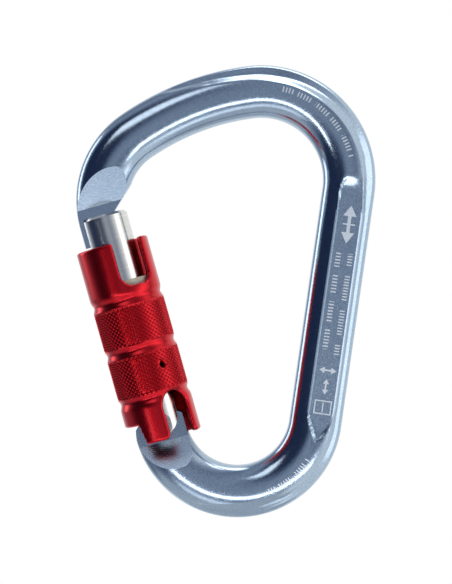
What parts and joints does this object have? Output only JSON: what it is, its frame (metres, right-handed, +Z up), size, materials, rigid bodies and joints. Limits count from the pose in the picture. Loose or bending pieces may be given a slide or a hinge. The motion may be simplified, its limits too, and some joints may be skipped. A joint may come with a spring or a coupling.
{
  "type": "locking carabiner",
  "caption": "Pear-shaped forged carabiner: hinged gate locked by a spring-loaded sleeve that is lifted and turned before the gate swings in.",
  "frame": {"origin": "the point where a rope bears inside the wide bow, at mid thickness", "axes": "+Z up along the spine, +X from the gate towards the spine, +Y through the thickness away from the front face"},
  "size_m": [0.0719, 0.0176, 0.1103],
  "materials": {
    "body_anodised": "polished, blue-grey anodised",
    "gate_satin": "satin, clear anodised",
    "sleeve_anodised": "satin, deep red anodised, two knurled bands",
    "pin_steel": "ground stainless steel",
    "spring_steel": "drawn spring wire",
    "bush_plastic": "ivory acetal"
  },
  "bodies": {
    "frame": {"forged_body": "body_anodised", "hinge_rivet": "pin_steel"},
    "gate": {"gate_barrel": "gate_satin", "gate_spring": "spring_steel", "guide_pin": "pin_steel", "upper_bush": "bush_plastic", "sleeve_spring": "spring_steel"},
    "plunger": {"gate_plunger": "pin_steel"},
    "lift_ring": {"thrust_washer": "pin_steel"},
    "sleeve": {"locking_sleeve": "sleeve_anodised", "guide_bush": "bush_plastic"}
  },
  "joints": [
    {"name": "gate_swing", "type": "hinge", "parent": "frame", "child": "gate", "pos_m": [-0.01549, 0, -0.07726], "axis": [0, 1, 0], "range_deg": [0, 25], "stiffness_Nm_per_rad": 0.06, "springref_deg": -51.57},
    {"name": "plunger_slide", "type": "slide", "parent": "gate", "child": "plunger", "axis": [-0.4051, 0, 0.9143], "range_m": [0, 0.00112], "deforming": ["gate_spring"]},
    {"name": "sleeve_lift", "type": "slide", "parent": "gate", "child": "lift_ring", "axis": [-0.4051, 0, 0.9143], "range_m": [0, 0.0045], "stiffness_N_per_m": 700, "springref_m": -0.006, "deforming": ["sleeve_spring"]},
    {"name": "sleeve_twist", "type": "hinge", "parent": "lift_ring", "child": "sleeve", "pos_m": [-0.02263, 0, -0.06117], "axis": [-0.4051, 0, 0.9143], "range_deg": [0, 60.5]}
  ],
  "couplings": [
    {"joint": "sleeve_twist", "follows": "gate_swing", "ratio": 2.4},
    {"joint": "plunger_slide", "follows": "gate_swing", "m_per_rad": 0.002521}
  ]
}
